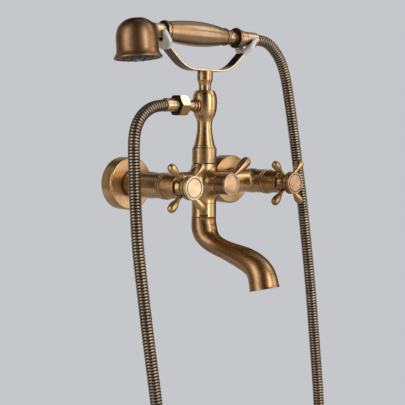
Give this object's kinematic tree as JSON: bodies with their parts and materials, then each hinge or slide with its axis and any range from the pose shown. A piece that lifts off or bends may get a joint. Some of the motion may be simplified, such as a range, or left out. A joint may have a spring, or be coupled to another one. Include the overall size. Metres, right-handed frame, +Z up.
{
  "type": "bath shower mixer",
  "caption": "Wall-mounted bath and shower mixer with cross handles, diverter lever, swivel spout and a telephone-style handset on a cradle with a ribbed hose.",
  "frame": {"origin": "on the wall face, midway between the two inlets", "axes": "+Z up, -Y out of the wall into the room, +X to the right seen from the room; the handset's head lies at -X"},
  "size_m": [0.2627, 0.1669, 0.6902],
  "materials": {
    "antique_brass": "brushed antique brass",
    "handset_brass": "brushed antique brass, browner",
    "strap_bronze": "dark bronzed, brushed edges",
    "hose_metal": "antique brass spiral, dark in the grooves",
    "fork_plastic": "ivory moulded plastic",
    "seal_rubber": "matt black",
    "screw_steel": "plain steel",
    "nozzle_rubber": "dark silicone",
    "cartridge_brass": "turned brass"
  },
  "bodies": {
    "mixer": {"mixer_body": "antique_brass", "left_wall_flange": "antique_brass", "right_wall_flange": "antique_brass", "left_inlet_union": "cartridge_brass", "right_inlet_union": "cartridge_brass", "left_inlet_washer": "seal_rubber", "right_inlet_washer": "seal_rubber", "left_union_nut": "cartridge_brass", "right_union_nut": "cartridge_brass", "hot_bonnet": "antique_brass", "cold_bonnet": "antique_brass", "hot_valve_cartridge": "cartridge_brass", "cold_valve_cartridge": "cartridge_brass", "diverter_cartridge": "cartridge_brass", "riser_seal": "seal_rubber", "riser_collar": "antique_brass", "riser_column": "antique_brass", "hose_outlet": "antique_brass", "hose_hex_nut": "antique_brass", "hose_washer": "seal_rubber", "hose_ferrule": "antique_brass", "cradle_stem": "antique_brass", "cradle_strap": "strap_bronze", "cradle_screw": "strap_bronze", "left_cradle_fork": "fork_plastic", "right_cradle_fork": "fork_plastic", "spout_collar": "antique_brass", "spout_set_screw": "screw_steel", "shower_hose": "hose_metal"},
    "hot_handle": {"hot_valve_spindle": "cartridge_brass", "hot_cross_handle": "antique_brass", "hot_handle_screw": "screw_steel", "hot_index_cap": "antique_brass"},
    "cold_handle": {"cold_valve_spindle": "cartridge_brass", "cold_cross_handle": "antique_brass", "cold_handle_screw": "screw_steel", "cold_index_cap": "antique_brass"},
    "diverter": {"diverter_spindle": "cartridge_brass", "diverter_knob": "antique_brass", "diverter_lever": "antique_brass", "diverter_screw": "screw_steel", "diverter_cap": "antique_brass"},
    "spout": {"spout": "antique_brass", "spout_o_rings": "seal_rubber", "aerator_housing": "cartridge_brass", "aerator_plate": "cartridge_brass"},
    "handset": {"handset_head": "handset_brass", "spray_plate": "handset_brass", "spray_nozzles": "nozzle_rubber", "spray_plate_screw": "screw_steel", "handset_neck": "handset_brass", "handset_collar": "handset_brass", "handset_grip": "handset_brass", "handset_tube": "cartridge_brass", "handset_end_ring": "handset_brass", "handset_end_fitting": "handset_brass", "hose_cone_nut": "antique_brass"}
  },
  "joints": [
    {"name": "hot_handle_turn", "type": "hinge", "parent": "mixer", "child": "hot_handle", "pos_m": [-0.075, -0.1, 0], "axis": [0, -1, 0], "range_deg": [0, 90]},
    {"name": "cold_handle_turn", "type": "hinge", "parent": "mixer", "child": "cold_handle", "pos_m": [0.075, -0.1, 0], "axis": [0, 1, 0], "range_deg": [0, 90]},
    {"name": "diverter_turn", "type": "hinge", "parent": "mixer", "child": "diverter", "pos_m": [0, -0.08, 0], "axis": [0, -1, 0], "range_deg": [0, 90]},
    {"name": "spout_swivel", "type": "hinge", "parent": "mixer", "child": "spout", "pos_m": [0, -0.0474, -0.05], "axis": [0, 0, 1], "range_deg": [-60, 60]},
    {"name": "handset_lift", "type": "slide", "parent": "mixer", "child": "handset", "axis": [0, 0, 1], "range_m": [0, 0.06]}
  ]
}
